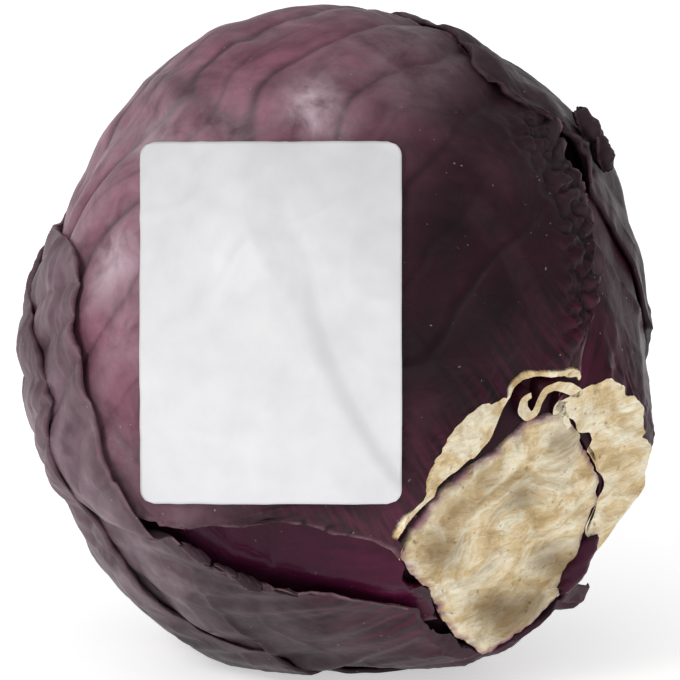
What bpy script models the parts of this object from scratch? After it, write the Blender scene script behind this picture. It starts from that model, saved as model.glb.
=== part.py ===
"""A red cabbage head as picked: a dense heart on a cut stem, six wrapper leaves and a blank paper label.

The head is shaped in its own frame, with its centre at the origin, X to the right, Z up and the
viewer on the -Y side. It is then tipped back and set down on the flat spot that its weight presses.
Every surface is a distance from the centre along a direction. A leaf is laid over the leaves under
it, so its distance there is the heart's plus the room that those leaves take.
"""

import math
from collections import namedtuple

import bmesh
import bpy
import numpy as np
from mathutils import Matrix, Vector

MM = 0.001
DEGREE = math.pi / 180


def unit(vector):
    vector = np.asarray(vector, float)
    return vector / np.linalg.norm(vector)


# How the head sits: tipped back about X, on a flat spot this far under its centre.
TIP_BACK = 15 * DEGREE
SEAT_DROP = 70.0 * MM
SEAT_DIRECTION = np.array([0, math.sin(TIP_BACK), -math.cos(TIP_BACK)])
SEAT_SPREAD = 14.0
SEAT_ROUNDING = 1.0 * MM

# The heart: half its width, depth and height, with soft bulges and dents (direction, size, spread).
HEART_HALF_SIZES = np.array([64.1, 64.7, 65.9]) * MM
HEART_LOBES = (
    ((0.50, -0.20, -0.84), 7.9 * MM, 25 * DEGREE),
    ((-1.00, 0.00, 0.20), -4.4 * MM, 40 * DEGREE),
    ((-0.80, 0.00, 0.60), -1.6 * MM, 26 * DEGREE),
    ((0.00, 0.00, 1.00), 2.2 * MM, 24 * DEGREE),
    ((0.24, 0.00, 0.97), -2.2 * MM, 14 * DEGREE),
    ((0.95, -0.10, 0.25), -2.2 * MM, 20 * DEGREE),
    ((0.95, -0.20, -0.35), 2.0 * MM, 20 * DEGREE),
    ((-0.91, 0.00, -0.41), -2.6 * MM, 20 * DEGREE),
    ((-0.05, 0.70, -0.71), 2.4 * MM, 32 * DEGREE),
)
HEART_RINGS = 20
HEART_SPOKES = 32

# The stem's axis, from the head's centre out, and two directions square to it that count its turns.
STEM_AXIS = unit((0.60, -0.50, -0.625))
STEM_UP = unit(np.array([0, 0, 1]) - STEM_AXIS[2] * STEM_AXIS)
STEM_SIDE = np.cross(STEM_AXIS, STEM_UP)

# The knife's cut: a plane square to this direction, at this distance from the centre.
KNIFE_NORMAL = unit((0.609, -0.617, -0.497))
KNIFE_DISTANCE = 63.2 * MM
KNIFE_BLOCK = 200 * MM

# The stem's outline at the cut: degrees about its axis and degrees away from it.
STEM_OUTLINE = (
    (-167, 24.6), (-142, 22.5), (-126, 21.4), (-108, 19.0), (-86, 16.8), (-67, 18.4), (-25, 19.0),
    (5, 24.4), (25, 25.0), (44, 22.2), (65, 23.5), (88, 26.3), (106, 27.6), (124, 22.5), (132, 20.5),
    (152, 21.0), (176, 22.3),
)
STEM_POINTS = 36
STEM_TAPER = ((0, 1.0), (5 * MM, 0.95), (12 * MM, 0.78), (24 * MM, 0.50), (38 * MM, 0.28))
STEM_CLEARANCE = 0.6 * MM

# Leaves: the blade's thickness, the gap to the next leaf, and how a leaf's edge is followed.
BLADE = 0.9 * MM
GAP = 0.75 * MM
HEART_GAP = 1.1 * MM
VEIN_HEIGHT = 0.7 * MM
VEIN_SPACING = 18.0
FIRST_VEIN = 49.0
MIDRIB_HEIGHT = 1.7 * MM
MIDRIB_WIDTH = 5.0
COVER_REACH = 6.0
COVER_FALL = 24.0
FOOT_REACH = 0.4
BASE_ENDS = 46.0
FLESH_RAMP = 8.0
RUFFLE = 0.3
EDGE_WIDTH = 13.0
EDGE_LIES_FLAT = 130.0

# Side veins leave the midrib at a slant, which grows from the leaf's foot to its middle.
SLANT = 0.45
SLANT_FROM = 20.0
SLANT_FULL = 75.0

# A leaf's heading is the turn of its midrib about the stem. Its outline is (degrees along the
# midrib, degrees to the edge), on the side that the turn grows towards and on the other side.
# Its base is the flesh of its foot: (height, from, to), in degrees off the midrib. Its lift is how
# far each edge stands off. A curl is (row, degrees off the midrib, height, spread).
Leaf = namedtuple("Leaf", "name heading foot tip toward away base lift curl")

LEAVES = (
    Leaf(
        "leaf_inner", 120, 10, 184,
        ((10, 10), (22, 12), (32, 26), (45, 46), (70, 60), (110, 62), (150, 48), (174, 26), (184, 12)),
        ((10, 9), (22, 11), (30, 22), (45, 46), (70, 60), (110, 62), (150, 48), (174, 26), (184, 12)),
        (1.0 * MM, -8, 8), (0, 0), None,
    ),
    Leaf(
        "leaf_right", -35, 10, 188,
        ((10, 17), (20, 18), (28, 26), (45, 46), (70, 60), (110, 62), (150, 50), (176, 26), (188, 12)),
        ((10, 22), (18, 23), (28, 30), (45, 48), (70, 62), (110, 62), (150, 48), (176, 26), (188, 12)),
        (4.6 * MM, -22, 19), (0, 0), None,
    ),
    Leaf(
        "leaf_front", 50, 10, 196,
        ((10, 22), (20, 24), (25, 30), (30, 35.5), (33, 43), (34, 52), (36, 59), (40, 63.5), (47, 67),
         (60, 70), (110, 74), (150, 64), (178, 40), (196, 13)),
        ((10, 19), (23, 23), (25.5, 26.5), (30, 36), (34, 42), (38, 47), (48, 52), (54, 55), (63, 54),
         (69, 49), (83, 51), (100, 50), (140, 46), (175, 28), (196, 12)),
        (4.7 * MM, -13, 23), (1.6 * MM, 0.6 * MM), None,
    ),
    Leaf(
        "leaf_under", 170, 8, 162,
        ((8, 29), (14, 30), (24, 31), (34, 38), (48, 50), (68, 62), (95, 64), (130, 52), (150, 34),
         (162, 13)),
        ((8, 6), (18, 8), (23, 20), (27, 27.5), (32, 32), (38, 36.5), (46, 44), (54, 54), (66, 64),
         (80, 68), (118, 68), (132, 64), (138, 56), (143, 42), (150, 25), (162, 11)),
        (1.2 * MM, -6, 24), (0.8 * MM, 2.0 * MM), (9, 28, 4.0 * MM, 5),
    ),
    Leaf(
        "leaf_back", -50, 54, 158,
        ((54, 34), (57, 38), (61, 43), (64, 52), (72, 54), (79, 50.5), (99, 41.5), (109, 36), (119, 26),
         (132, 19), (148, 14), (158, 9)),
        ((54, 36), (62, 47), (80, 56), (110, 52), (135, 40), (150, 22), (158, 10)),
        (0, 0, 0), (0.7 * MM, 0.6 * MM), (58, 37, 5.2 * MM, 6),
    ),
    Leaf(
        "leaf_outer", 195, 42, 168,
        ((42, 24), (50, 34), (60, 46), (80, 62), (110, 66), (136, 56), (150, 42), (160, 27), (168, 13)),
        ((42, 31), (50, 38), (55, 48.5), (60, 61), (64, 69), (74, 73), (110, 76), (134, 68), (142, 55),
         (149, 38), (157, 23), (168, 11)),
        (0, 0, 0), (0.6 * MM, 1.0 * MM), None,
    ),
)
LEAF_BASE_ROWS = (0, 4, 8, 12, 17, 22, 27)
LARGEST_WIDTH_STEP = 9.0
LEAF_COLUMNS = (-1.0, -0.9, -0.78, -0.65, -0.52, -0.39, -0.26, -0.13, 0.0,
                0.13, 0.26, 0.39, 0.52, 0.65, 0.78, 0.9, 1.0)

# The label: a paper rectangle with round corners, pressed on the front leaf.
LABEL_SIZE = (55.9 * MM, 77.4 * MM)
LABEL_CENTRE = (-14.8 * MM, 3.7 * MM)
LABEL_CORNER = 2.6 * MM
LABEL_PAPER = 0.35 * MM
LABEL_LEAF = 2
LABEL_COLUMNS = 8
LABEL_ROWS = 11

COLOURS = {
    "heart": ((0.30, 0.09, 0.17), 0.5),
    "stem": ((0.72, 0.58, 0.36), 0.8),
    "leaf": ((0.17, 0.06, 0.09), 0.45),
    "label": ((0.90, 0.90, 0.91), 0.5),
}


def clear_scene():
    for thing in list(bpy.data.objects):
        bpy.data.objects.remove(thing)


def material(name):
    colour, roughness = COLOURS[name]
    made = bpy.data.materials.new(name)
    made.use_nodes = True
    shader = made.node_tree.nodes["Principled BSDF"]
    shader.inputs["Base Color"].default_value = (*colour, 1)
    shader.inputs["Roughness"].default_value = roughness
    shader.inputs["Metallic"].default_value = 0
    return made


def smooth_step(x):
    x = np.clip(x, 0, 1)
    return x * x * (3 - 2 * x)


def heading_direction(turn):
    """The direction square to the stem's axis, at a turn in degrees about it."""
    return math.cos(turn * DEGREE) * STEM_UP + math.sin(turn * DEGREE) * STEM_SIDE


def angle_between(directions, axis):
    return np.arccos(np.clip(directions @ unit(axis), -1, 1))


def polar_direction(turn, away):
    """The direction at a turn about the stem's axis and an angle away from it, both in radians."""
    square = math.cos(turn) * STEM_UP + math.sin(turn) * STEM_SIDE
    return math.cos(away) * STEM_AXIS + math.sin(away) * square


def heart_radius(directions):
    """The heart's surface: an ellipsoid with soft lobes."""
    radius = 1 / np.sqrt(((directions / HEART_HALF_SIZES) ** 2).sum(1))
    for axis, size, spread in HEART_LOBES:
        radius += size * np.exp(-((angle_between(directions, axis) / spread) ** 2))
    return radius


def leaf_axes(leaf):
    along = heading_direction(leaf.heading)
    return along, np.cross(STEM_AXIS, along)


def leaf_direction(leaf, row, across):
    """The direction of a point of a leaf, from its row and its degrees off the midrib."""
    slant = SLANT * np.abs(across) * np.clip((row - SLANT_FROM) / (SLANT_FULL - SLANT_FROM), 0, 1)
    u = (row + slant) * DEGREE
    v = across * DEGREE
    along, side = leaf_axes(leaf)
    middle = np.outer(np.cos(u), STEM_AXIS) + np.outer(np.sin(u), along)
    return np.cos(v)[:, None] * middle + np.outer(np.sin(v), side)


def leaf_place(leaf, directions):
    """The row and the degrees off the midrib of a direction: leaf_direction the other way round."""
    along, side = leaf_axes(leaf)
    across = np.arcsin(np.clip(directions @ side, -1, 1)) / DEGREE
    u = np.arctan2(directions @ along, directions @ STEM_AXIS) / DEGREE
    u = np.where(u < -90, u + 360, u)
    share = SLANT * np.abs(across) / (SLANT_FULL - SLANT_FROM)
    row = np.where(u > SLANT_FROM, (u + SLANT_FROM * share) / (1 + share), u)
    return np.where(row > SLANT_FULL, u - SLANT * np.abs(across), row), across


def edge_width(leaf, row, across):
    """Degrees from the midrib to the leaf's edge, on the side that across is on."""
    toward = np.interp(row, *np.transpose(leaf.toward))
    away = np.interp(row, *np.transpose(leaf.away))
    return np.where(across > 0, toward, away)


def foot_share(row):
    """1 at the leaf's foot, falling to 0 where its base ends."""
    return smooth_step((BASE_ENDS - row) / (BASE_ENDS - SLANT_FROM))


def midrib(leaf, row, across):
    thinning = np.clip(1.1 - row / leaf.tip, 0, 1)
    return MIDRIB_HEIGHT * thinning * np.exp(-((across / MIDRIB_WIDTH) ** 2))


def veins(leaf, row, across):
    """Side veins: ridges along the rows, which fade at the foot, the tip and the edge."""
    phase = (row - FIRST_VEIN) / VEIN_SPACING
    ridge = np.clip(1 - 2 * np.abs(phase - np.round(phase)), 0, 1)
    inner = smooth_step((row - 34) / 12) * smooth_step((leaf.tip - row) / 20)
    off_edge = smooth_step(1.15 - np.abs(across) / edge_width(leaf, row, across))
    return VEIN_HEIGHT * ridge * inner * off_edge


def relief(leaf, row, across):
    """The ridges on a leaf's outer face, which are squeezed flat where the head rests."""
    from_seat = angle_between(leaf_direction(leaf, row, across), SEAT_DIRECTION) / DEGREE
    free = smooth_step((from_seat - SEAT_SPREAD) / SEAT_SPREAD)
    return free * (midrib(leaf, row, across) + veins(leaf, row, across))


def edge_lift(leaf, row, across):
    """How far the leaf's edge stands off what is under it, with the ruffle of the edge."""
    width = edge_width(leaf, row, across)
    near = smooth_step(1 - (width - np.abs(across)) / EDGE_WIDTH)
    amount = np.where(across > 0, *leaf.lift)
    ruffle = 1 + RUFFLE * np.sin(row * math.pi / 9 + leaf.heading)
    shown = smooth_step((row - 22) / 14) * smooth_step((EDGE_LIES_FLAT - row) / 35)
    rise = near * shown * amount * ruffle
    if leaf.curl:
        at_row, at_across, size, spread = leaf.curl
        off = np.hypot(row - at_row, across - at_across) / spread
        rise = rise + size * np.exp(-(off**2))
    return rise


def base_flesh(leaf, row, across):
    """The height of the flesh of the leaf's foot."""
    height, low, high = leaf.base
    inside = smooth_step((across - low) / FLESH_RAMP) * smooth_step((high - across) / FLESH_RAMP)
    return height * inside * foot_share(row)


def leaf_room(leaf, row, across):
    """All the room that a leaf takes outwards, with its ridges' full height."""
    ridges = VEIN_HEIGHT + midrib(leaf, row, across / 1.5)
    return BLADE + ridges + base_flesh(leaf, row, across) + edge_lift(leaf, row, across)


def cover(leaf, directions):
    """1 where a leaf lies under a direction and just past its edge, falling to 0, and its room there."""
    row, across = leaf_place(leaf, directions)
    held = np.clip(row, leaf.foot, leaf.tip)
    width = edge_width(leaf, held, across)
    past_side = np.maximum(np.abs(across) - width, 0)
    past_end = np.maximum(np.maximum(leaf.foot - row, row - leaf.tip), 0)
    tight = FOOT_REACH + (1 - FOOT_REACH) * smooth_step((held - 26) / 22)
    past = np.hypot(past_side, past_end) / tight
    share = smooth_step(1 - (past - COVER_REACH) / COVER_FALL)
    inside = np.sign(across) * np.minimum(np.abs(across), width)
    return share * (leaf_room(leaf, held, inside) + GAP)


def stack(directions, count):
    """The distance at which leaf number count starts: over the heart and the leaves before it."""
    radius = heart_radius(directions) + HEART_GAP
    for leaf in LEAVES[:count]:
        radius = radius + cover(leaf, directions)
    return radius


def seat_press(directions):
    """How far the head is pressed in, for the outermost leaf to be flat where it rests."""
    top = stack(directions, len(LEAVES) - 1)
    outer = LEAVES[-1]
    row, across = leaf_place(outer, directions)
    top = top + leaf_outer_part(outer, row, across)
    down = directions @ SEAT_DIRECTION
    past = top - SEAT_DROP / np.maximum(down, 0.5)
    rounded = np.maximum(past + SEAT_ROUNDING, 0) ** 2 / (4 * SEAT_ROUNDING)
    return np.where(down > 0.5, np.where(past > SEAT_ROUNDING, past, rounded), 0)


def leaf_outer_part(leaf, row, across):
    """The distance from where a leaf starts to its outer face."""
    flesh = base_flesh(leaf, row, across)
    return BLADE + relief(leaf, row, across) + flesh + edge_lift(leaf, row, across)


def leaf_faces(number, row, across):
    """The outer and inner points of a leaf, for rows and degrees off the midrib."""
    leaf = LEAVES[number]
    directions = leaf_direction(leaf, row, across)
    press = seat_press(directions)
    outer = stack(directions, number) + leaf_outer_part(leaf, row, across) - press
    inner = outer - relief(leaf, row, across) - BLADE - base_flesh(leaf, row, across)
    return directions * outer[:, None], directions * inner[:, None]


def leaf_rows(leaf):
    """Rows close together at the foot, then one on each side vein and one between two veins.

    More rows are put in where the leaf's edge runs steeply across them.
    """
    foot = [leaf.foot + step for step in LEAF_BASE_ROWS if step == 0 or leaf.foot + step < 42]
    between = np.arange(FIRST_VEIN, leaf.tip - 5, VEIN_SPACING / 2)
    plain = [*foot, *between[between > foot[-1] + 3], leaf.tip]
    rows = plain[:1]
    for low, high in zip(plain, plain[1:]):
        edges = [np.interp((low, high), *np.transpose(side)) for side in (leaf.toward, leaf.away)]
        steps = 1 + int(np.abs(np.diff(edges)).max() / LARGEST_WIDTH_STEP)
        rows += list(np.linspace(low, high, steps + 1)[1:])
    return np.array(rows)


def solid_from_points(name, points, faces):
    mesh = bpy.data.meshes.new(name)
    mesh.from_pydata([tuple(p) for p in points], [], faces)
    mesh.update()
    made = bpy.data.objects.new(name, mesh)
    bpy.context.scene.collection.objects.link(made)
    return made


def sheet_solid(name, outer, inner, rows, columns):
    """A closed sheet from two grids of points, split into triangles alike on both faces."""
    points = np.vstack([outer, inner])
    under = rows * columns
    faces = []
    for i in range(rows - 1):
        for j in range(columns - 1):
            a, b = i * columns + j, i * columns + j + 1
            c, d = b + columns, a + columns
            for x, y, z in ((a, b, c), (a, c, d)):
                faces.append((x, y, z))
                faces.append((under + z, under + y, under + x))
    border = [j for j in range(columns)]
    border += [i * columns + columns - 1 for i in range(1, rows)]
    border += [(rows - 1) * columns + j for j in range(columns - 2, -1, -1)]
    border += [i * columns for i in range(rows - 2, 0, -1)]
    for k, start in enumerate(border):
        end = border[(k + 1) % len(border)]
        faces.append((start, under + start, under + end))
        faces.append((start, under + end, end))
    made = solid_from_points(name, points, faces)
    face_outwards(made)
    return made


def face_outwards(thing):
    work = bmesh.new()
    work.from_mesh(thing.data)
    bmesh.ops.recalc_face_normals(work, faces=work.faces)
    if work.calc_volume(signed=True) < 0:
        bmesh.ops.reverse_faces(work, faces=work.faces)
    work.to_mesh(thing.data)
    work.free()


def difference(thing, cutter):
    cut = thing.modifiers.new("cut_" + cutter.name, "BOOLEAN")
    cut.operation = "DIFFERENCE"
    cut.solver = "EXACT"
    cut.object = cutter


def as_cutter(thing):
    thing.hide_render = True
    thing.display_type = "WIRE"
    return thing


def build_knife():
    """A block whose face is the knife's cut, on the side that was cut away."""
    work = bmesh.new()
    bmesh.ops.create_cube(work, size=KNIFE_BLOCK)
    turn = Vector(KNIFE_NORMAL).to_track_quat("Z", "Y").to_matrix().to_4x4()
    middle = Vector(KNIFE_NORMAL * (KNIFE_DISTANCE + KNIFE_BLOCK / 2))
    work.transform(Matrix.Translation(middle) @ turn)
    mesh = bpy.data.meshes.new("knife")
    work.to_mesh(mesh)
    work.free()
    made = bpy.data.objects.new("knife", mesh)
    bpy.context.scene.collection.objects.link(made)
    return as_cutter(made)


def stem_rings(taper, clearance):
    """Rings of the stem from the cut inwards, each a smaller copy of its outline at the cut."""
    turns = np.linspace(-math.pi, math.pi, STEM_POINTS, endpoint=False)
    away = np.interp(turns / DEGREE, *np.transpose(STEM_OUTLINE), period=360) * DEGREE
    edge = [polar_direction(turn, off) for turn, off in zip(turns, away)]
    edge = np.array([d * KNIFE_DISTANCE / (d @ KNIFE_NORMAL) for d in edge])
    centre = STEM_AXIS * KNIFE_DISTANCE / (STEM_AXIS @ KNIFE_NORMAL)
    arms = edge - centre
    reach = np.linalg.norm(arms, axis=1, keepdims=True)
    return [centre + arms * (width + clearance / reach) - STEM_AXIS * depth for depth, width in taper]


def build_stem(name, taper=STEM_TAPER, clearance=0.0):
    rings = stem_rings(taper, clearance)
    count = STEM_POINTS
    points = np.vstack(rings)
    faces = [tuple(range(count))]
    for i in range(len(rings) - 1):
        for j in range(count):
            k = (j + 1) % count
            low, high = i * count, (i + 1) * count
            faces.append((low + j, high + j, high + k, low + k))
    last = (len(rings) - 1) * count
    faces.append(tuple(last + j for j in range(count - 1, -1, -1)))
    made = solid_from_points(name, points, faces)
    face_outwards(made)
    return made


def build_stem_room():
    """The stem made a little larger all round and longer, to cut its room out of its neighbours."""
    depth, width = STEM_TAPER[-1]
    past_cut = (-20 * MM, 1.0)
    past_end = (depth + STEM_CLEARANCE, width)
    return as_cutter(build_stem("stem_room", (past_cut, *STEM_TAPER[:-1], past_end), STEM_CLEARANCE))


def build_heart():
    """The heart: rings about the stem's axis, from the stem to the far end."""
    rings = np.linspace(0, math.pi, HEART_RINGS + 1)[1:-1]
    turns = np.linspace(0, 2 * math.pi, HEART_SPOKES, endpoint=False)
    directions = [STEM_AXIS, -STEM_AXIS]
    directions += [polar_direction(turn, away) for away in rings for turn in turns]
    directions = np.array(directions)
    radius = heart_radius(directions) - seat_press(directions)
    faces = []
    count = HEART_SPOKES
    for j in range(count):
        k = (j + 1) % count
        faces.append((0, 2 + j, 2 + k))
        last = 2 + (len(rings) - 1) * count
        faces.append((1, last + k, last + j))
        for i in range(len(rings) - 1):
            low, high = 2 + i * count, 2 + (i + 1) * count
            faces.append((low + j, high + j, high + k))
            faces.append((low + j, high + k, low + k))
    made = solid_from_points("heart", directions * radius[:, None], faces)
    face_outwards(made)
    return made


def build_leaf(number):
    leaf = LEAVES[number]
    rows = leaf_rows(leaf)
    shares = np.array(LEAF_COLUMNS)
    row = np.repeat(rows, len(shares))
    share = np.tile(shares, len(rows))
    across = share * edge_width(leaf, row, share)
    outer, inner = leaf_faces(number, row, across)
    return sheet_solid(leaf.name, outer, inner, len(rows), len(shares))


def label_outline(i, j):
    """A point of the label's grid, from its middle, with the corner points drawn in to round it."""
    x = LABEL_SIZE[0] * (i / LABEL_COLUMNS - 0.5)
    z = LABEL_SIZE[1] * (j / LABEL_ROWS - 0.5)
    if i in (0, LABEL_COLUMNS) and j in (0, LABEL_ROWS):
        pull = LABEL_CORNER * (1 - math.sqrt(0.5))
        x -= math.copysign(pull, x)
        z -= math.copysign(pull, z)
    return LABEL_CENTRE[0] + x, LABEL_CENTRE[1] + z


def build_label():
    """The label: pressed on the front leaf where the viewer's lines through its outline meet it."""
    grid = [label_outline(i, j) for j in range(LABEL_ROWS + 1) for i in range(LABEL_COLUMNS + 1)]
    x, z = np.transpose(grid)
    bed = np.full(len(x), SEAT_DROP)
    for _ in range(8):
        y = -np.sqrt(np.maximum(bed**2 - x**2 - z**2, 0))
        directions = np.stack([x, y, z], 1)
        directions /= np.linalg.norm(directions, axis=1, keepdims=True)
        bed = stack(directions, LABEL_LEAF + 1)
    inner = directions * bed[:, None]
    outer = directions * (bed + LABEL_PAPER)[:, None]
    return sheet_solid("label", outer, inner, LABEL_ROWS + 1, LABEL_COLUMNS + 1)


def main():
    clear_scene()
    seat = bpy.data.objects.new("head_seat", None)
    bpy.context.scene.collection.objects.link(seat)
    knife = build_knife()
    stem_room = build_stem_room()
    heart = build_heart()
    leaves = [build_leaf(number) for number in range(len(LEAVES))]
    for solid in [heart, *leaves]:
        difference(solid, knife)
        difference(solid, stem_room)
    stem = build_stem("stem")
    label = build_label()
    for solid, look in ((heart, "heart"), (stem, "stem"), (label, "label")):
        solid.data.materials.append(material(look))
    for solid in leaves:
        solid.data.materials.append(material("leaf"))
    for thing in (knife, stem_room, heart, *leaves, stem, label):
        thing.parent = seat
    seat.rotation_euler.x = -TIP_BACK
    seat.location.z = SEAT_DROP
    bpy.context.view_layer.update()


main()
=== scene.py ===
"""The looks of the red cabbage head: veined leaves with ragged edges, painted light on their upper
left, a waxy bloom mixed with painted highlight and painted shade in creases, the cut stump with its
fibres, and a blank paper label. Every leaf is laid over the ones under it as in the CAD."""

import math
from collections import namedtuple

import bmesh
import bpy
import numpy as np
from mathutils import Matrix, Vector


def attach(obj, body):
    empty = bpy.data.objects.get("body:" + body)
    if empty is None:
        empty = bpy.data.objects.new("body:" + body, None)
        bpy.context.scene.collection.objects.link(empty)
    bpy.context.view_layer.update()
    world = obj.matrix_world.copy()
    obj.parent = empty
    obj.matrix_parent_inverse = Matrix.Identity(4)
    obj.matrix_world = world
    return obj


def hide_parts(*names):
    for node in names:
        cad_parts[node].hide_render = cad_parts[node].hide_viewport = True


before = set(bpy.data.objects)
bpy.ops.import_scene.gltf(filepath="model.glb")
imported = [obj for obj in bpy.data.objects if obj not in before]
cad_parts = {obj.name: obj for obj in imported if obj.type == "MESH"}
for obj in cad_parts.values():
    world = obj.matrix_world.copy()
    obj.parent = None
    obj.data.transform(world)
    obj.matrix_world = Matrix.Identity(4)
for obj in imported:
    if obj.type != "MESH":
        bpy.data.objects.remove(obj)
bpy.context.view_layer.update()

MM = 0.001
DEGREE = math.pi / 180


def unit(vector):
    vector = np.asarray(vector, float)
    return vector / np.linalg.norm(vector)


# The CAD's own sizes: how the head sits, the heart's form, the knife's plane and the stump. Angles
# without a unit are in degrees.
TIP_BACK = 15 * DEGREE
SEAT_DROP = 70.0 * MM
SEAT_DIRECTION = np.array([0, math.sin(TIP_BACK), -math.cos(TIP_BACK)])
SEAT_SPREAD = 14.0
SEAT_ROUNDING = 1.0 * MM
# About the head's radius, which turns directions into places for patterns.
HEAD_RADIUS = 70 * MM
TO_ROW = Matrix.Translation((0, 0, SEAT_DROP)) @ Matrix.Rotation(-TIP_BACK, 4, "X")

# The heart, with bumps and hollows on it: (direction, height, spread).
HEART_HALF_SIZES = np.array([64.1, 64.7, 65.9]) * MM
HEART_LOBES = (
    ((0.50, -0.20, -0.84), 7.9 * MM, 25 * DEGREE),
    ((-1.00, 0.00, 0.20), -4.4 * MM, 40 * DEGREE),
    ((-0.80, 0.00, 0.60), -1.6 * MM, 26 * DEGREE),
    ((0.00, 0.00, 1.00), 2.2 * MM, 24 * DEGREE),
    ((0.24, 0.00, 0.97), -2.2 * MM, 14 * DEGREE),
    ((0.95, -0.10, 0.25), -2.2 * MM, 20 * DEGREE),
    ((0.95, -0.20, -0.35), 2.0 * MM, 20 * DEGREE),
    ((-0.91, 0.00, -0.41), -2.6 * MM, 20 * DEGREE),
    ((-0.05, 0.70, -0.71), 2.4 * MM, 32 * DEGREE),
)

STEM_AXIS = unit((0.60, -0.50, -0.625))
STEM_UP = unit(np.array([0, 0, 1]) - STEM_AXIS[2] * STEM_AXIS)
STEM_SIDE = np.cross(STEM_AXIS, STEM_UP)
KNIFE_NORMAL = unit((0.609, -0.617, -0.497))
KNIFE_DISTANCE = 63.2 * MM
# The stump's edge: (turn about the stem's axis, angle away from it).
STEM_OUTLINE = (
    (-167, 24.6), (-142, 22.5), (-126, 21.4), (-108, 19.0), (-86, 16.8), (-67, 18.4), (-25, 19.0),
    (5, 24.4), (25, 25.0), (44, 22.2), (65, 23.5), (88, 26.3), (106, 27.6), (124, 22.5), (132, 20.5),
    (152, 21.0), (176, 22.3),
)
FOOT_CLEARANCE = 0.35
# How far the front leaf's torn foot ends from the stump, in degrees: (turn about the stem, clearance).
FRONT_FOOT = (
    (-4, 7.0), (3, 7.3), (11, 8.0), (18, 8.5), (24, 8.9), (29, 9.0), (33, 8.8), (37, 7.4), (41, 5.4),
    (46, 3.4), (53, 2.2), (60, 1.2), (70, 0.7), (77, 0.9), (84, 1.8), (93, 2.6), (97, 2.4), (103, 0.4),
)
LIP_WIDTH = 0.8
LIP_HEIGHT = 0.6 * MM
FOOT_WAVES = 2.2

# How thick a leaf is, the room between leaves, and the forms that its surface has.
BLADE = 0.9 * MM
GAP = 0.75 * MM
HEART_GAP = 1.1 * MM
VEIN_ROOM = 0.7 * MM
VEIN_SPACING = 18.0
FIRST_VEIN = 49.0
MIDRIB_HEIGHT = 1.7 * MM
MIDRIB_WIDTH = 5.0
COVER_REACH = 2.5
COVER_FALL = 12.0
FOOT_REACH = 0.5
BASE_ENDS = 46.0
FLESH_RAMP = 8.0
RUFFLE = 0.1
EDGE_WIDTH = 13.0
EDGE_LIES_FLAT = 130.0
SLANT = 0.45
SLANT_FROM = 20.0
SLANT_FULL = 75.0
CREASE_DEPTH = 0.22 * MM
MIDRIB_LINE = 0.35 * MM
SWELL_PRESSED = 0.35 * MM
SWELL_FREE = 0.85 * MM
SOFT_DENTS = 0.18 * MM
# How long a degree of a leaf is, for the patterns on it.
DEGREE_LENGTH = 1.2 * MM

# A leaf's heading is the turn of its midrib about the stem, and its rows are the degrees along the
# midrib, from its foot to its tip. Its outline is (row, degrees to the edge), on the side that the
# turn grows towards and on the other side. Then come how ragged its edge is, in degrees, how many
# rows and columns its mesh has, and how high the pleats along its edge are. Its base is the flesh of
# its foot: (height, from, to), in degrees off the midrib, and foot_in is how far that flesh reaches
# inwards, as a share of its height. Its lift is how far each edge stands off. A curl is (row, degrees
# off the midrib, height, spread). Crumples are knocked stretches of its edge: (side, from row, to
# row, width, height).
Leaf = namedtuple(
    "Leaf", "name heading foot tip toward away ragged grid pleats base lift curl crumples foot_in",
    defaults=((0, 0, 0), (0, 0), None, (), 0),
)

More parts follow.
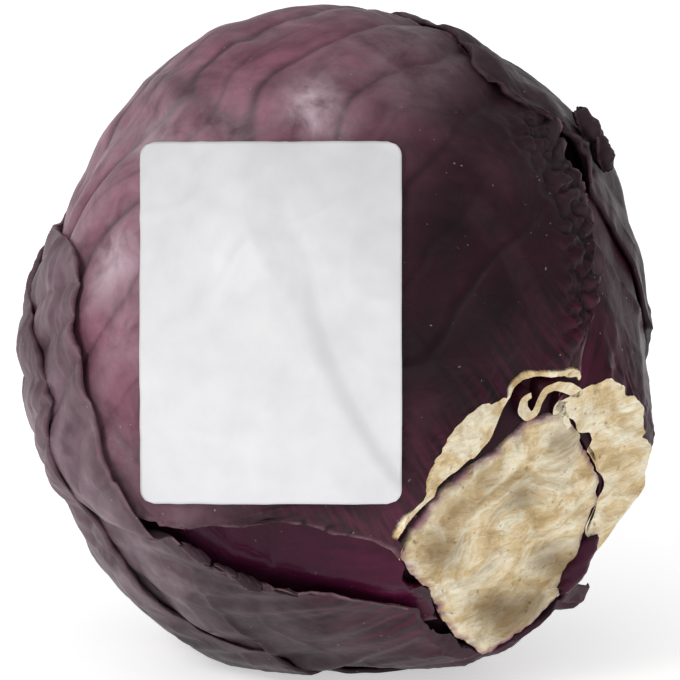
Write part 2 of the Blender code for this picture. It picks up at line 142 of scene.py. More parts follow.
LEAVES = (
    Leaf(
        "leaf_inner", 120, 10, 184,
        ((10, 10), (22, 12), (32, 26), (45, 46), (70, 60), (110, 62), (150, 48), (174, 26), (184, 12)),
        ((10, 9), (22, 11), (30, 22), (45, 46), (70, 60), (110, 62), (150, 48), (174, 26), (184, 12)),
        ragged=0.6, grid=(120, 110), pleats=0.06 * MM,
        base=(1.0 * MM, -8, 8),
    ),
    Leaf(
        "leaf_right", -35, 10, 188,
        ((10, 17), (20, 18), (28, 26), (45, 46), (70, 60), (110, 62), (150, 50), (176, 26), (188, 12)),
        ((10, 22), (18, 23), (28, 30), (45, 48), (70, 62), (110, 62), (150, 48), (176, 26), (188, 12)),
        ragged=0.6, grid=(170, 130), pleats=0.16 * MM,
        base=(4.6 * MM, -22, 19), foot_in=0.6,
    ),
    Leaf(
        "leaf_front", 50, 10, 196,
        ((10, 22), (20, 24), (25, 30), (30, 35.5), (33, 43), (34, 52), (36, 59), (40, 63.5), (47, 67),
         (60, 70), (110, 74), (150, 64), (178, 40), (196, 13)),
        ((10, 19), (23, 23), (25.5, 26.5), (30, 36), (34, 42), (38, 47), (48, 52), (54, 55), (63, 54),
         (69, 49), (83, 51), (100, 50), (140, 46), (175, 28), (196, 12)),
        ragged=1.0, grid=(300, 260), pleats=0.14 * MM,
        base=(4.7 * MM, -12, 17), foot_in=0.25,
        lift=(1.6 * MM, 0.6 * MM),
        crumples=((-1, 25, 64, 14.0, 2.0 * MM), (1, 22, 46, 3.0, 0.9 * MM)),
    ),
    Leaf(
        "leaf_under", 170, 8, 162,
        ((8, 29), (14, 30), (24, 31), (34, 38), (48, 50), (68, 62), (95, 64), (130, 52), (150, 34),
         (162, 13)),
        ((8, 6), (18, 8), (23, 20), (27, 27.5), (32, 32), (38, 36.5), (46, 44), (54, 54), (66, 64),
         (80, 68), (118, 68), (132, 64), (138, 56), (143, 42), (150, 25), (162, 11)),
        ragged=0.25, grid=(280, 210), pleats=0.46 * MM,
        base=(1.2 * MM, -6, 24),
        lift=(0.8 * MM, 1.4 * MM),
        curl=(9, 28, 4.0 * MM, 5),
        crumples=((-1, 26, 48, 3.0, 1.1 * MM), (1, 8, 20, 6.0, 1.8 * MM)),
    ),
    Leaf(
        "leaf_back", -50, 54, 158,
        ((54, 34), (57, 38), (61, 43), (64, 52), (72, 54), (79, 50.5), (99, 41.5), (109, 36), (119, 26),
         (132, 19), (148, 14), (158, 9)),
        ((54, 36), (62, 47), (80, 56), (110, 52), (135, 40), (150, 22), (158, 10)),
        ragged=0.25, grid=(190, 170), pleats=0.26 * MM,
        lift=(0.2 * MM, 0.2 * MM),
        curl=(58, 37, 0.8 * MM, 6),
        crumples=((1, 54, 74, 4.0, 1.2 * MM),),
    ),
    Leaf(
        "leaf_outer", 195, 42, 168,
        ((42, 24), (50, 34), (60, 46), (80, 62), (110, 66), (136, 56), (150, 42), (160, 27), (168, 13)),
        ((42, 31), (50, 38), (55, 48.5), (60, 61), (64, 69), (74, 73), (110, 76), (134, 68), (142, 55),
         (149, 38), (157, 23), (168, 11)),
        ragged=0.15, grid=(220, 180), pleats=0.40 * MM,
        lift=(0.3 * MM, 0.3 * MM),
    ),
)

# How far a leaf's edge sinks at the front into the room that the CAD leaves under it.
SETTLE = {"leaf_outer": 1.2 * MM, "leaf_back": 1.2 * MM, "leaf_under": 0.3 * MM}
# How strong the pale line along a leaf's edge is, where it is weaker than 1.
RIM_SHARES = {"leaf_back": 0.25, "leaf_outer": 0.5}

# Patches of bloom on the leaves, which also serve as painted highlight, and brown patches on the
# stump, seen from the front: (X, Z, size, amount), in millimetres.
BLOOM_AND_HIGHLIGHT_PATCHES = (
    (-40, 43, 11, 0.9),
    (-6, 50, 6.5, 1.2),
    (-51, 19, 9, 0.9),
    (-22, 45, 8, 0.6),
    (-47, 2, 9, 0.35),
    (12, 60, 12, 0.25),
    (-58, -24, 12, 0.5),
    (-42, -48, 15, 0.7),
    (-14, -64, 14, 0.3),
    (56, 40, 10, 0.2),
)
STAINS = (
    (36, -59, 5.5, 1.0),
    (30, -57, 4, 0.5),
    (21, -45, 4.5, 0.8),
    (24, -36, 4, 0.5),
    (46, -48, 4.5, 0.8),
    (39, -33.5, 3.5, 0.8),
    (31, -30, 4, 0.5),
    (48, -22, 4.5, 0.6),
    (42, -56, 3.5, 0.6),
)

# The stump's mesh, how far its face stands out of the leaves' cut, where its frayed rim starts as a
# share of the way out, and its side below the face: (depth, share of the face's width, darkness).
STUMP_RINGS = 70
STUMP_SPOKES = 260
STUMP_PROUD = 0.4 * MM
PEEL_FROM = 0.93
PEEL_WIDTH = 0.07
PEEL_DROP = 0.5 * MM
STUMP_SIDE = ((1.0 * MM, 0.995, 0.5), (2.5 * MM, 0.98, 1.0), (9.0 * MM, 0.86, 1.0))

# The strips of leaf base in the hole above the stump: lines of points on the knife's plane, in
# millimetres along KNIFE_RIGHT and KNIFE_UP from KNIFE_MIDDLE, then the strip's thickness. They
# stand from CURL_BELOW that plane to CURL_ABOVE it, and the knife cuts them.
KNIFE_RIGHT = np.array([0.793, 0.474, 0.382])
KNIFE_UP = np.array([0.0, -0.627, 0.778])
KNIFE_MIDDLE = np.array([37.4, -34.2, -38.9]) * MM
CURLS = (
    (((18.2, 25.9), (14.7, 29.5), (11.4, 31.7), (8.4, 31.8), (6.8, 29.5), (5.7, 27.0), (3.8, 26.9),
      (2.2, 29.6), (2.5, 32.2), (4.6, 32.5)), 2.5),
    (((17.1, 27.0), (13.8, 27.2), (12.2, 25.5), (12.5, 22.0), (14.7, 18.2)), 3.8),
)
CURL_ABOVE = 1.0 * MM
CURL_BELOW = 7.0 * MM
CURL_POINTS = 80
CURL_LAYERS = 12

# Rolled bits of leaf: name, middle, the way it lies, radius, length, turns, and its leaf. Sizes are
# in millimetres.
ROLLS = (
    ("knob_roll", (53.6, -12.0, 46.2), (0.60, -0.15, -0.78), 2.9, 9.0, 1.35, "leaf_under"),
    ("knob_fold", (56.4, -13.0, 40.4), (0.35, -0.25, -0.90), 3.1, 8.5, 1.25, "leaf_under"),
    ("side_fold", (51.4, -14.0, -48.2), (-0.48, 0.10, -0.86), 3.0, 14.0, 1.7, "leaf_inner"),
    ("torn_1", (-31.0, -48.6, -45.8), (0.86, -0.10, -0.50), 1.5, 7.5, 1.0, "leaf_under"),
    ("torn_2", (-24.6, -49.4, -49.4), (0.92, -0.10, -0.38), 1.2, 5.5, 0.9, "leaf_under"),
    ("torn_3", (-19.6, -49.2, -51.8), (0.90, -0.05, -0.44), 1.6, 6.5, 1.1, "leaf_under"),
    ("torn_4", (-11.6, -48.9, -54.2), (0.97, 0.00, -0.22), 1.0, 5.0, 0.8, "leaf_under"),
)
ROLL_GRID = (34, 60)
ROLL_BLADE = 0.6 * MM

# The label lies on the leaf of this number.
LABEL_LEAF = 2
LABEL_SIZE = (55.9 * MM, 77.4 * MM)
LABEL_CENTRE = (-14.8 * MM, 3.7 * MM)
LABEL_CORNER = 3.0 * MM
LABEL_PAPER = 0.22 * MM
LABEL_PRESS = 0.35 * MM
LABEL_COLUMNS = 90
LABEL_ROWS = 120

# Each leaf: its dark and middle colours, the painted light colour of its upper left, the amount of its
# bloom with painted highlight, its roughness, and what its cut edge is made of.
LEAF_LOOKS = {
    "leaf_inner": (
        (0.028, 0.002, 0.012), (0.062, 0.006, 0.026), (0.085, 0.010, 0.037), 0.10, 0.26, "rim",
    ),
    "leaf_right": (
        (0.012, 0.001, 0.004), (0.036, 0.004, 0.013), (0.046, 0.007, 0.019), 0.30, 0.40, "flesh",
    ),
    "leaf_front": (
        (0.008, 0.002, 0.004), (0.024, 0.004, 0.009), (0.280, 0.106, 0.158), 1.00, 0.36, "flesh",
    ),
    "leaf_under": (
        (0.014, 0.006, 0.009), (0.043, 0.022, 0.030), (0.175, 0.100, 0.127), 0.60, 0.42, "rim",
    ),
    "leaf_back": (
        (0.012, 0.004, 0.007), (0.034, 0.012, 0.019), (0.048, 0.020, 0.029), 0.50, 0.40, "rim",
    ),
    "leaf_outer": (
        (0.014, 0.006, 0.009), (0.044, 0.023, 0.031), (0.150, 0.084, 0.107), 0.60, 0.42, "rim",
    ),
}
# Pale: the waxy bloom's colour, which also stands in as a painted highlight.
BLOOM_AND_HIGHLIGHT = (0.58, 0.45, 0.50)
PALE_RIM = (0.20, 0.11, 0.13)
DUSTY = (0.045, 0.030, 0.034)
MAGENTA = (0.11, 0.010, 0.042)
SPECK = (0.36, 0.30, 0.31)
# Near black: painted shade in fine creases and in the valleys of puckers and rolls.
CREVICE_SHADE = (0.004, 0.002, 0.003)
FLESH = (0.72, 0.55, 0.31)
FLESH_PALE = (0.91, 0.84, 0.65)
FLESH_DEEP = (0.46, 0.32, 0.15)
STAIN = (0.18, 0.112, 0.045)
RIM_TINT = (0.30, 0.14, 0.18)
FLANK = (0.030, 0.010, 0.018)

# The camera looks from the photo's angle, and from far off, for the head shows no perspective.
PICTURE_WIDTH = 147.2 * MM
CAMERA_DISTANCE = 5.0
SENSOR = 36.0

# The lights: (place, size, power).
KEY_LIGHT = ((-0.75, -0.75, 0.85), 0.45, 5.0)
FILL_LIGHT = ((0.90, -1.20, 0.10), 1.8, 4.6)
SKY_LIGHT = 0.58
FLOOR_COLOUR = (0.94, 0.94, 0.94)
FLOOR_GLOW = 0.50


def smooth_step(x):
    x = np.clip(x, 0, 1)
    return x * x * (3 - 2 * x)


def waves(places, size, seed, count=14):
    """A smooth field from -1 to 1 with bumps about as wide as size, from waves in random directions."""
    rng = np.random.default_rng(seed + 1000)
    axes = rng.normal(size=(count, places.shape[1]))
    axes /= np.linalg.norm(axes, axis=1, keepdims=True)
    pitch = 2 * math.pi / (size * rng.uniform(0.7, 1.6, count))
    phase = rng.uniform(0, 2 * math.pi, count)
    return np.sin(places @ (axes * pitch[:, None]).T + phase).sum(1) / math.sqrt(count)


def heading_direction(turn):
    """The direction square to the stem's axis at a turn about it."""
    return math.cos(turn * DEGREE) * STEM_UP + math.sin(turn * DEGREE) * STEM_SIDE


def angle_between(directions, axis):
    return np.arccos(np.clip(directions @ unit(axis), -1, 1))


def polar_direction(turn, away):
    """The direction at a turn about the stem's axis and an angle away from it, both in radians."""
    square = np.outer(np.cos(turn), STEM_UP) + np.outer(np.sin(turn), STEM_SIDE)
    return np.cos(away)[:, None] * STEM_AXIS + np.sin(away)[:, None] * square


def heart_radius(directions):
    radius = 1 / np.sqrt(((directions / HEART_HALF_SIZES) ** 2).sum(1))
    for axis, size, spread in HEART_LOBES:
        radius += size * np.exp(-((angle_between(directions, axis) / spread) ** 2))
    return radius


def leaf_axes(leaf):
    along = heading_direction(leaf.heading)
    return along, np.cross(STEM_AXIS, along)


def leaf_direction(leaf, row, across):
    """The direction of a leaf's place. Its rows slant towards the tip away from the midrib."""
    slant = SLANT * np.abs(across) * np.clip((row - SLANT_FROM) / (SLANT_FULL - SLANT_FROM), 0, 1)
    u = (row + slant) * DEGREE
    v = across * DEGREE
    along, side = leaf_axes(leaf)
    middle = np.cos(u)[:, None] * STEM_AXIS + np.sin(u)[:, None] * along
    return np.cos(v)[:, None] * middle + np.sin(v)[:, None] * side


def leaf_place(leaf, directions):
    """The row and the angle off the midrib of each direction: leaf_direction turned round."""
    along, side = leaf_axes(leaf)
    across = np.arcsin(np.clip(directions @ side, -1, 1)) / DEGREE
    u = np.arctan2(directions @ along, directions @ STEM_AXIS) / DEGREE
    u = np.where(u < -90, u + 360, u)
    share = SLANT * np.abs(across) / (SLANT_FULL - SLANT_FROM)
    row = np.where(u > SLANT_FROM, (u + SLANT_FROM * share) / (1 + share), u)
    return np.where(row > SLANT_FULL, u - SLANT * np.abs(across), row), across


def edge_width(leaf, row, across):
    toward = np.interp(row, *np.transpose(leaf.toward))
    away = np.interp(row, *np.transpose(leaf.away))
    return np.where(across > 0, toward, away)


def ragged_width(leaf, row, side):
    """The edge's width with its small waves, nicks and torn bits."""
    smooth = (edge_width(leaf, row - 1.5, side) + edge_width(leaf, row + 1.5, side)) / 2
    place = np.stack([row, 40.0 * side], 1)
    seed = leaf.heading + 400
    fine = waves(place, 7, seed) + 0.6 * waves(place, 2.6, seed + 1)
    nicks = np.maximum(waves(place, 4, seed + 2) - 1.1, 0)
    return smooth + leaf.ragged * (0.6 * fine - 2.0 * nicks) * smooth_step((row - 20) / 10)


def foot_share(row):
    """1 at a leaf's foot, falling to 0 where its base ends."""
    return smooth_step((BASE_ENDS - row) / (BASE_ENDS - SLANT_FROM))


def midrib(leaf, row, across):
    thinning = np.clip(1.1 - row / leaf.tip, 0, 1)
    return MIDRIB_HEIGHT * thinning * np.exp(-((across / MIDRIB_WIDTH) ** 2))


def vein_offset(leaf, row, across):
    """How far a place is from its nearest side vein, in degrees of row, drifting as real veins do."""
    place = np.stack([row, across], 1)
    drift = 2.2 * waves(place, 38, leaf.heading + 7) + 0.5 * waves(place, 9, leaf.heading + 8)
    phase = (row - FIRST_VEIN + drift) / VEIN_SPACING
    return (phase - np.round(phase)) * VEIN_SPACING, phase


def vein_share(leaf, row, across):
    """1 on a side vein's line, falling to 0 off it: strong veins and weaker ones between them."""
    off, phase = vein_offset(leaf, row, across)
    off_half = (phase - np.floor(phase) - 0.5) * VEIN_SPACING
    thin = np.clip(1.1 - np.abs(across) / 75, 0.25, 1)
    strong = np.exp(-((off / (1.1 * thin)) ** 2))
    weak = 0.5 * np.exp(-((off_half / (0.7 * thin)) ** 2))
    inner = smooth_step((row - 34) / 12) * smooth_step((leaf.tip - row) / 20)
    off_edge = smooth_step(1.1 - np.abs(across) / edge_width(leaf, row, across))
    return (strong + weak) * inner * off_edge


def puff(leaf, row, across):
    """The panels between the side veins swell a little, more so away from the midrib."""
    off, phase = vein_offset(leaf, row, across)
    panel = np.abs(np.sin(math.pi * off / VEIN_SPACING)) ** 0.9
    far = smooth_step((np.abs(across) - 4) / 14) * smooth_step((row - 46) / 20)
    return panel * far * smooth_step((leaf.tip - row) / 20)


def swell_height(leaf, row, across):
    """How high a full panel swells: more where no label presses on it."""
    places = leaf_direction(leaf, row, across) * HEAD_RADIUS
    past_x = np.abs(places[:, 0] - LABEL_CENTRE[0]) - LABEL_SIZE[0] / 2
    past_z = np.abs(places[:, 2] - LABEL_CENTRE[1]) - LABEL_SIZE[1] / 2
    past = np.where(places[:, 1] < 0, np.maximum(past_x, past_z), 10 * MM)
    return SWELL_PRESSED + SWELL_FREE * smooth_step(past / (8 * MM))


def relief(leaf, row, across):
    """Ridged ribs near the foot, and creases between swollen panels farther out."""
    from_seat = angle_between(leaf_direction(leaf, row, across), SEAT_DIRECTION) / DEGREE
    free = smooth_step((from_seat - SEAT_SPREAD) / SEAT_SPREAD)
    near = smooth_step((74 - row) / 24)
    vein = vein_share(leaf, row, across)
    ribs = VEIN_ROOM * near * vein
    swell = swell_height(leaf, row, across) * puff(leaf, row, across)
    swell = swell - CREASE_DEPTH * (1 - near) * vein
    line = MIDRIB_LINE * np.exp(-((across / 1.1) ** 2)) * np.clip(1.3 - row / leaf.tip, 0, 1)
    return free * (0.8 * midrib(leaf, row, across) + line + ribs + swell)


def edge_lift(leaf, row, across):
    """How far a leaf's edge stands off the leaves under it, and its curl."""
    width = edge_width(leaf, row, across)
    near = smooth_step(1 - (width - np.abs(across)) / EDGE_WIDTH)
    amount = np.where(across > 0, *leaf.lift)
    ruffle = 1 + RUFFLE * np.sin(row * math.pi / 9 + leaf.heading)
    shown = smooth_step((row - 22) / 14) * smooth_step((EDGE_LIES_FLAT - row) / 35)
    rise = near * shown * amount * ruffle
    if leaf.curl:
        at_row, at_across, size, spread = leaf.curl
        off = np.hypot(row - at_row, across - at_across) / spread
        rise = rise + size * np.exp(-(off**2))
    return rise


def base_flesh(leaf, row, across):
    """How much thicker the flesh of a leaf's foot is than its blade."""
    height, low, high = leaf.base
    place = np.stack([row, across], 1)
    uneven = 1 + 0.16 * waves(place, 6, leaf.heading + 51) + 0.07 * waves(place, 1.8, leaf.heading + 52)
    inside = smooth_step((across - low) / FLESH_RAMP) * smooth_step((high - across) / FLESH_RAMP)
    return height * uneven * inside * foot_share(row)


def leaf_room(leaf, row, across):
    """The room that a leaf takes up, from its inner side to the top of its ribs."""
    ridges = VEIN_ROOM + midrib(leaf, row, across / 1.5)
    return BLADE + ridges + base_flesh(leaf, row, across) + edge_lift(leaf, row, across)


def cover(leaf, directions):
    """How far a leaf pushes out what lies over it. It fades out past the leaf's edges."""
    row, across = leaf_place(leaf, directions)
    held = np.clip(row, leaf.foot, leaf.tip)
    width = edge_width(leaf, held, across)
    past_side = np.maximum(np.abs(across) - width, 0)
    past_end = np.maximum(np.maximum(leaf.foot - row, row - leaf.tip), 0)
    tight = FOOT_REACH + (1 - FOOT_REACH) * smooth_step((held - 26) / 22)
    past = np.hypot(past_side, past_end) / tight
    share = smooth_step(1 - (past - COVER_REACH) / COVER_FALL)
    inside = np.sign(across) * np.minimum(np.abs(across), width)
    return share * (leaf_room(leaf, held, inside) + GAP)


def stack(directions, count):
    """The radius on top of the heart and the first leaves, as many as count."""
    radius = heart_radius(directions) + HEART_GAP
    for leaf in LEAVES[:count]:
        radius = radius + cover(leaf, directions)
    return radius


def leaf_outer_part(leaf, row, across):
    """How far a leaf's outer side is above what it lies on."""
    flesh = base_flesh(leaf, row, across)
    return BLADE + relief(leaf, row, across) + flesh + edge_lift(leaf, row, across)


def seat_press(directions):
    """How far the head's weight presses it in to make its seat flat, rounded at the seat's edge."""
    outer = LEAVES[-1]
    row, across = leaf_place(outer, directions)
    top = stack(directions, len(LEAVES) - 1) + leaf_outer_part(outer, row, across)
    down = directions @ SEAT_DIRECTION
    past = top - SEAT_DROP / np.maximum(down, 0.5)
    rounded = np.maximum(past + SEAT_ROUNDING, 0) ** 2 / (4 * SEAT_ROUNDING)
    return np.where(down > 0.5, np.where(past > SEAT_ROUNDING, past, rounded), 0)


def settle(leaf, row, across):
    """How far a leaf's edge sinks: its sides, and its foot where that isn't at the stump."""
    from_edge = edge_width(leaf, row, across) - np.abs(across)
    if leaf.foot > BASE_ENDS - 5:
        from_edge = np.minimum(from_edge, row - leaf.foot)
    at_front = smooth_step((0.30 - leaf_direction(leaf, row, across)[:, 1]) / 0.30)
    return SETTLE.get(leaf.name, 0) * smooth_step(1.4 - from_edge / 14) * at_front


def crumple(leaf, row, across, places):
    """Puckers with sharp valleys along the stretches of the edge that were knocked about.

    It gives their height, and how deep in a valley each place lies, which is darkened as painted shade."""
    total = np.zeros(len(row))
    valley_shade = np.zeros(len(row))
    large = waves(places, 6.5 * MM, leaf.heading + 31)
    small = waves(places, 2.8 * MM, leaf.heading + 32)
    pucker = np.clip(np.abs(large) + 0.35 * np.abs(small), 0, 1.5) / 1.2
    sharp = np.clip(np.exp(-((large / 0.16) ** 2)) + 0.5 * np.exp(-((small / 0.2) ** 2)), 0, 1)
    for side, low, high, width, height in leaf.crumples:
        edge = edge_width(leaf, row, np.full(len(row), side))
        in_band = smooth_step(1.25 - (edge - side * across) / width)
        on_side = np.sign(across) == side
        ends = smooth_step((row - low) / 4) * smooth_step((high - row) / 8)
        share = in_band * on_side * ends
        total += height * share * pucker
        valley_shade = np.maximum(valley_shade, share * sharp)
    return total, valley_shade


def surface_waves(leaf, places, row, across):
    """The leaf's own soft dents, the pleats that run along its edge, and fine wrinkles."""
    width = edge_width(leaf, row, across)
    near = smooth_step(1 - (width - np.abs(across)) / 20)
    near = near * (1 - 0.75 * smooth_step(1 - (width - np.abs(across)) / 7))
    soft = SOFT_DENTS * waves(places, 17 * MM, leaf.heading + 11)
    along = np.stack([row * 0.20, across], 1)
    bends = [waves(along, 14, leaf.heading + seed) for seed in (14, 15)]
    bent = along + 0.8 * np.stack(bends, 1)
    body = np.clip(leaf.pleats / (0.6 * MM), 0.08, 0.7)
    pleats = leaf.pleats * (body + (1 - body) * near) * waves(bent, 6.0, leaf.heading + 12)
    fine_pleats = 0.3 * leaf.pleats * (0.2 + near) * waves(bent, 2.4, leaf.heading + 16)
    fine = (0.03 + 0.05 * near) * MM * waves(places, 3.2 * MM, leaf.heading + 13)
    return soft + pleats + fine_pleats + fine


def outside_stem(directions, clearance):
    """True where a direction is clear of the stump."""
    turn = np.arctan2(directions @ STEM_SIDE, directions @ STEM_UP) / DEGREE
    away = angle_between(directions, STEM_AXIS) / DEGREE
    return away > np.interp(turn, *np.transpose(STEM_OUTLINE), period=360) + clearance


def patch_sum(places, patches):
    """How strong all the round, soft patches together are at each place."""
    total = np.zeros(len(places))
    for x, z, size, amount in patches:
        off = np.hypot(places[:, 0] - x * MM, places[:, 2] - z * MM) / (size * MM)
        total += amount * np.exp(-(off**2))
    return total


def bloom_and_highlight_share(directions, swollen):
    """Where the waxy bloom and its painted highlight are strong: in patches on the front, mostly on the
    swollen panels.
    """
    places = directions * HEAD_RADIUS
    at_front = places[:, 1] < 20 * MM
    return np.clip(patch_sum(places, BLOOM_AND_HIGHLIGHT_PATCHES) * at_front * (0.55 + 0.45 * swollen), 0, 1)


def torn_clearance(directions):
    """How far the front leaf's torn foot ends from the stump."""
    turn = np.arctan2(directions @ STEM_SIDE, directions @ STEM_UP) / DEGREE
    return np.interp(turn, *np.transpose(FRONT_FOOT), period=360)


def torn_lip(leaf, row, start, directions):
    """1 on the pale lip where the front leaf's foot was torn short of the stump."""
    if leaf.name != "leaf_front":
        return np.zeros(len(row))
    torn = smooth_step((torn_clearance(directions) - 1.4) / 0.8)
    width = LIP_WIDTH * (1 + 0.25 * waves(directions, 0.08, 64))
    return torn * smooth_step((width - (row - start)) / 0.25 + 0.5)


def first_rows(leaf, shares):
    """For each column, the row where the leaf's foot comes clear of the stump."""
    steps = np.arange(leaf.foot, BASE_ENDS, 0.1)
    starts = []
    for share in shares:
        across = share * edge_width(leaf, steps, np.full(len(steps), share))
        directions = leaf_direction(leaf, steps, across)
        wave = np.clip(waves(directions, 0.13, leaf.heading + 61), 0, 1)
        clearance = FOOT_CLEARANCE + FOOT_WAVES * wave
        if leaf.name == "leaf_front":
            clearance = np.maximum(clearance, torn_clearance(directions))
        clear = outside_stem(directions, clearance)
        held = np.nonzero(~clear)[0]
        starts.append(steps[held[-1]] if len(held) else leaf.foot)
    return np.array(starts, float)


def new_object(name, work):
    mesh = bpy.data.meshes.new(name)
    work.to_mesh(mesh)
    work.free()
    made = bpy.data.objects.new(name, mesh)
    bpy.context.scene.collection.objects.link(made)
    made.data.transform(TO_ROW)
    return made


def smooth_faces(work):
    bmesh.ops.recalc_face_normals(work, faces=work.faces)
    for face in work.faces:
        face.smooth = True


def sheet_mesh(outer, inner, rows, columns, values):
    """A closed sheet from two grids of points, with a value of each name at each point."""
    work = bmesh.new()
    layers = {name: work.verts.layers.float.new(name) for name in values}
    grids = []
    for points in (outer, inner):
        grid = [work.verts.new(point) for point in points]
        for name, layer in layers.items():
            for vertex, value in zip(grid, values[name]):
                vertex[layer] = value
        grids.append(grid)
    top, under = grids
    for i in range(rows - 1):
        for j in range(columns - 1):
            a = i * columns + j
            corners = (a, a + 1, a + columns + 1, a + columns)
            work.faces.new([top[k] for k in corners])
            work.faces.new([under[k] for k in reversed(corners)])
    border = list(range(columns))
    border += [i * columns + columns - 1 for i in range(1, rows)]
    border += [(rows - 1) * columns + j for j in range(columns - 2, -1, -1)]
    border += [i * columns for i in range(rows - 2, 0, -1)]
    for k, start in enumerate(border):
        end = border[(k + 1) % len(border)]
        work.faces.new((top[start], under[start], under[end], top[end]))
    smooth_faces(work)
    return work


def cut_with_knife(work):
    """Takes off what the knife took and closes the cut, whose faces get the second material."""
    geometry = work.verts[:] + work.edges[:] + work.faces[:]
    cut = bmesh.ops.bisect_plane(
        work, geom=geometry, dist=1e-7, plane_co=KNIFE_NORMAL * KNIFE_DISTANCE,
        plane_no=KNIFE_NORMAL, clear_outer=True,
    )
    edges = [part for part in cut["geom_cut"] if isinstance(part, bmesh.types.BMEdge)]
    rim = [edge for edge in edges if edge.is_boundary]
    if not rim:
        return
    filled = bmesh.ops.triangle_fill(
        work, use_beauty=True, use_dissolve=False, edges=rim, normal=KNIFE_NORMAL,
    )
    for part in filled["geom"]:
        if isinstance(part, bmesh.types.BMFace):
            part.material_index = 1
            part.smooth = False
    for edge in rim:
        edge.smooth = False


def build_leaf(number):
    """A leaf's sheet, with the values that its material reads."""
    leaf = LEAVES[number]
    rows, columns = leaf.grid
    shares = np.sin(np.linspace(-1, 1, columns) * math.pi / 2)
    starts = first_rows(leaf, shares)
    steps = np.linspace(0, 1, rows) ** 1.35
    row = (starts[None, :] + steps[:, None] * (leaf.tip - starts)[None, :]).ravel()
    start = np.tile(starts, rows)
    share = np.tile(shares, rows)
    across = share * ragged_width(leaf, row, np.sign(share) + (share == 0))
    directions = leaf_direction(leaf, row, across)
    places = directions * HEAD_RADIUS
    press = seat_press(directions)
    from_seat = angle_between(directions, SEAT_DIRECTION) / DEGREE
    free = smooth_step((from_seat - SEAT_SPREAD) / SEAT_SPREAD)
    outer = stack(directions, number) + leaf_outer_part(leaf, row, across) - press
    puckers, valley_shade = crumple(leaf, row, across, places)
    outer += free * surface_waves(leaf, places, row, across) + puckers
    outer -= settle(leaf, row, across)
    lip = torn_lip(leaf, row, start, directions)
    thin_edge = 0.35 + 0.65 * smooth_step((1 - np.abs(share)) / 0.05)
    inner = outer - relief(leaf, row, across) - BLADE * thin_edge - base_flesh(leaf, row, across)
    inner -= leaf.foot_in * base_flesh(leaf, row, across)
    outer += LIP_HEIGHT * lip
    width = edge_width(leaf, row, across)
    values = {
        "edge": smooth_step(1 - (width - np.abs(across)) / 9),
        "rim": smooth_step(1 - (1 - np.abs(share)) * width / 1.4) * RIM_SHARES.get(leaf.name, 1),
        "vein": np.clip(vein_share(leaf, row, across) + 0.7 * np.exp(-((across / 2.2) ** 2)), 0, 1),
        "foot": foot_share(row),
        "valley_shade": valley_shade,
        "lip": lip,
        "bloom_and_highlight": bloom_and_highlight_share(directions, puff(leaf, row, across)),
        "along": row * DEGREE_LENGTH,
        "over": across * DEGREE_LENGTH,
    }
    top = directions * outer[:, None]
    under = directions * inner[:, None]
    work = sheet_mesh(top, under, rows, columns, values)
    cut_with_knife(work)
    made = new_object(leaf.name + "_skin", work)
    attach(made, "root")
    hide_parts(leaf.name)
    return made


def build_stump():
    """The stump: a fibrous cut face that stands out a little, and its side below."""
    turns = np.linspace(-math.pi, math.pi, STUMP_SPOKES, endpoint=False)
    away = np.interp(turns / DEGREE, *np.transpose(STEM_OUTLINE), period=360) * DEGREE
    edge = polar_direction(turns, away)
    edge = edge * (KNIFE_DISTANCE / (edge @ KNIFE_NORMAL))[:, None]
    centre = STEM_AXIS * KNIFE_DISTANCE / (STEM_AXIS @ KNIFE_NORMAL)
    arms = edge - centre
    reach = np.linalg.norm(arms, axis=1, keepdims=True)
    frayed = 0.35 * MM * waves(edge, 5 * MM, 61) + 0.18 * MM * waves(edge, 1.8 * MM, 62)
    arms = arms * (1 + frayed[:, None] / reach)
    shares = np.linspace(0, 1, STUMP_RINGS) ** 0.8
    work = bmesh.new()
    peel_layer = work.verts.layers.float.new("peel")
    stain_layer = work.verts.layers.float.new("stain")
    flank_layer = work.verts.layers.float.new("flank")
    middle = work.verts.new(centre + KNIFE_NORMAL * STUMP_PROUD)
    rings = []
    for share in shares[1:]:
        points = centre + arms * share
        fibres = 0.28 * MM * waves(points, 9 * MM, 63) + 0.14 * MM * waves(points, 2.6 * MM, 64)
        fibres += 0.20 * MM * np.abs(waves(points, 6 * MM, 65))
        peel = float(smooth_step((share - PEEL_FROM) / PEEL_WIDTH))
        height = STUMP_PROUD + fibres - PEEL_DROP * peel
        ring = [work.verts.new(p + KNIFE_NORMAL * h) for p, h in zip(points, height)]
        for vertex, stain in zip(ring, np.clip(patch_sum(points, STAINS), 0, 1)):
            vertex[peel_layer] = peel
            vertex[stain_layer] = stain
        rings.append(ring)
    for depth, width, dark in STUMP_SIDE:
        points = centre + arms * width - STEM_AXIS * depth
        ring = [work.verts.new(p) for p in points]
        for vertex in ring:
            vertex[peel_layer] = 1.0
            vertex[flank_layer] = dark
        rings.append(ring)
    for j in range(STUMP_SPOKES):
        k = (j + 1) % STUMP_SPOKES
        work.faces.new((middle, rings[0][j], rings[0][k]))
        for low, high in zip(rings, rings[1:]):
            work.faces.new((low[j], high[j], high[k], low[k]))
    work.faces.new(rings[-1])
    smooth_faces(work)
    made = new_object("stump", work)
    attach(made, "root")
    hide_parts("stem")
    return made


def smooth_line(points, count):
    """A smooth line through the points, with count points evenly along it."""
    points = np.asarray(points, float)
    steps = np.linalg.norm(np.diff(points, axis=0), axis=1)
    reach = np.concatenate([[0], np.cumsum(steps)])
    wanted = np.linspace(0, reach[-1], count)
    line = np.stack([np.interp(wanted, reach, points[:, k]) for k in range(points.shape[1])], 1)
    for _ in range(3):
        line[1:-1] = (line[:-2] + 2 * line[1:-1] + line[2:]) / 4
    return line


